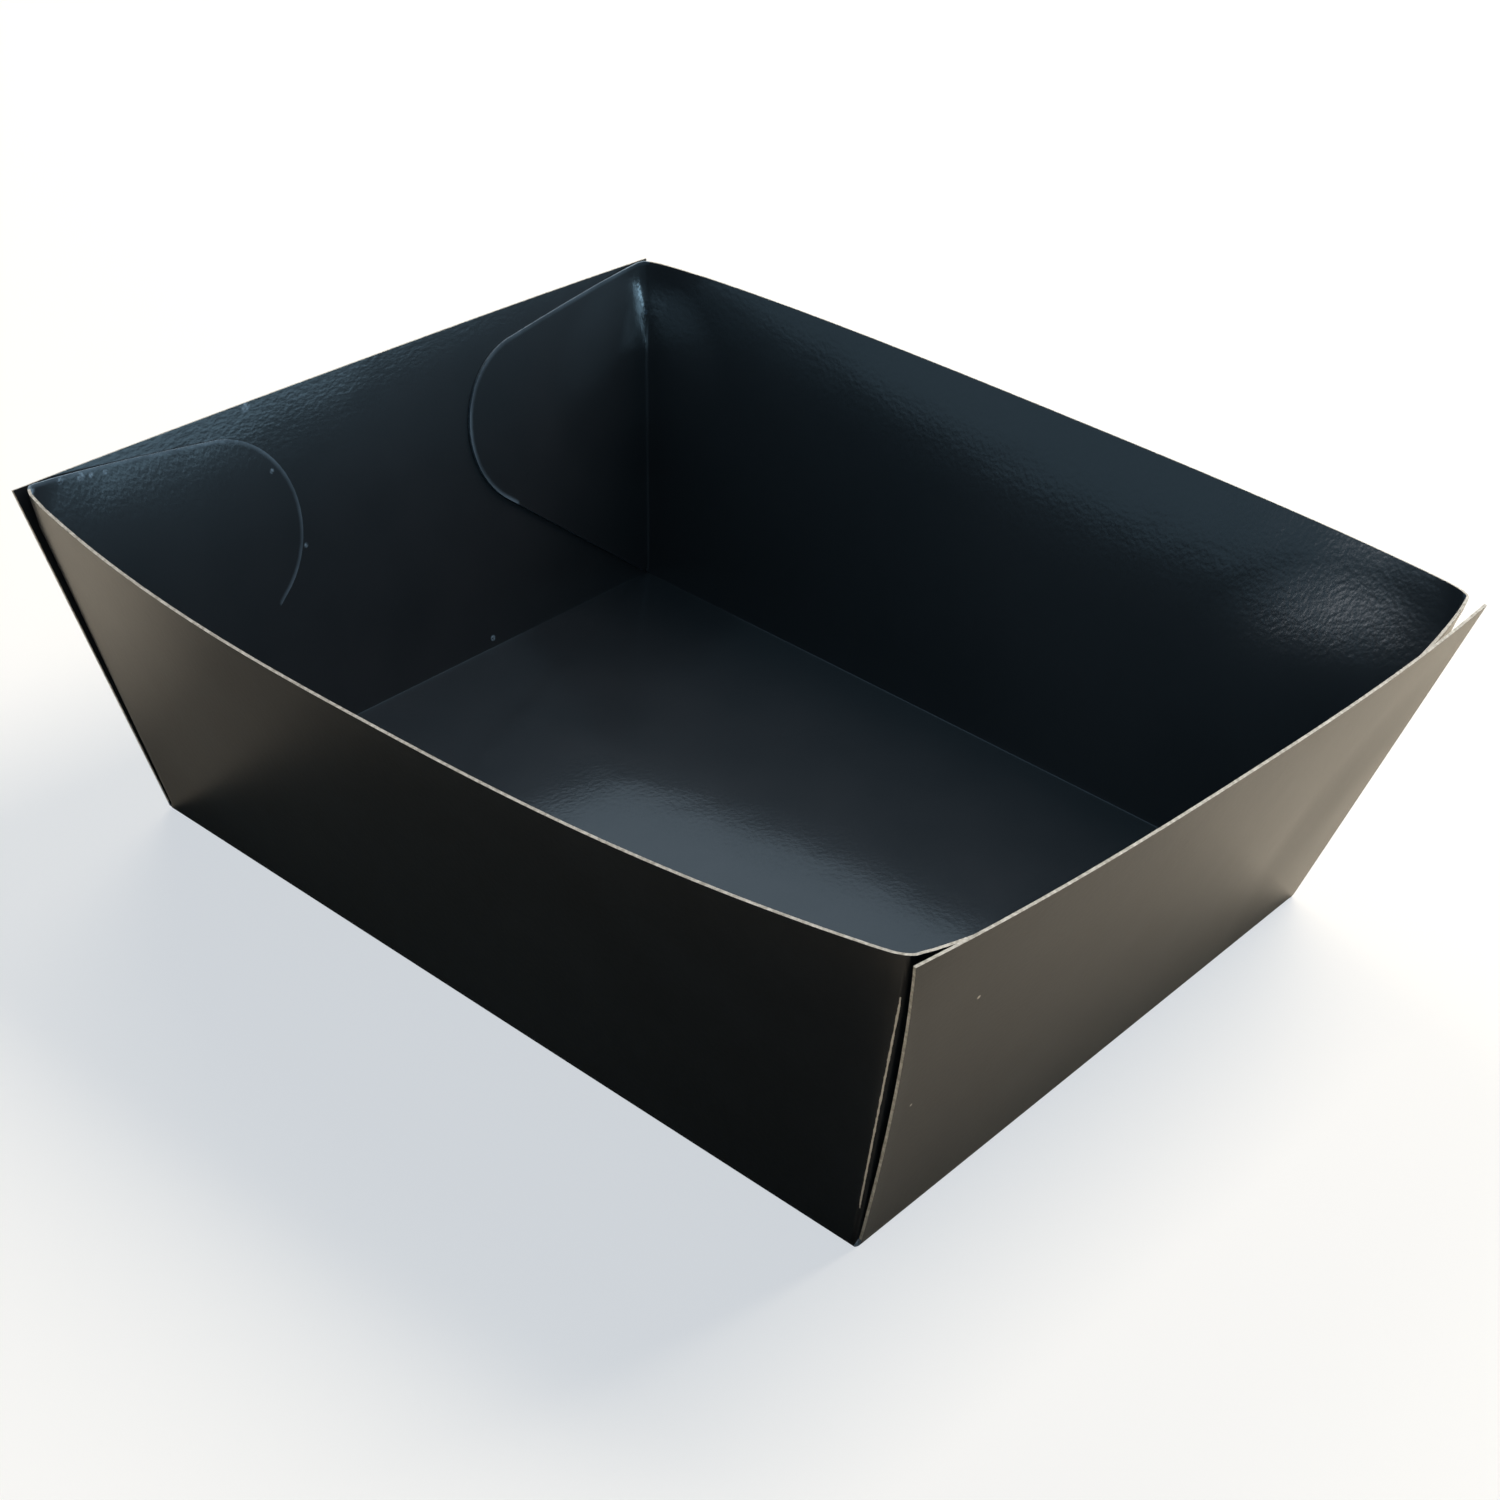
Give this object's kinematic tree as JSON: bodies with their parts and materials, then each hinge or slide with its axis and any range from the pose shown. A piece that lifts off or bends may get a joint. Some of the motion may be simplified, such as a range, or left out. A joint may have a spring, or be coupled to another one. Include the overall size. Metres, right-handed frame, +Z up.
{
  "type": "folded cardboard tray",
  "caption": "Small open food tray folded from black coated paperboard, with leaning, slightly bowed walls and round glue tabs inside its end panels.",
  "frame": {"origin": "middle of the base's underside, on the surface that the tray stands on", "axes": "+X along the long side of the base, +Y along its short side, +Z up out of the open top"},
  "size_m": [0.1842, 0.1577, 0.0617],
  "materials": {
    "coated_board": "black coating on both faces, glossy with a fine pebble; raw pale core on the cut edges"
  },
  "bodies": {
    "root": {"tray": "coated_board"}
  },
  "joints": []
}
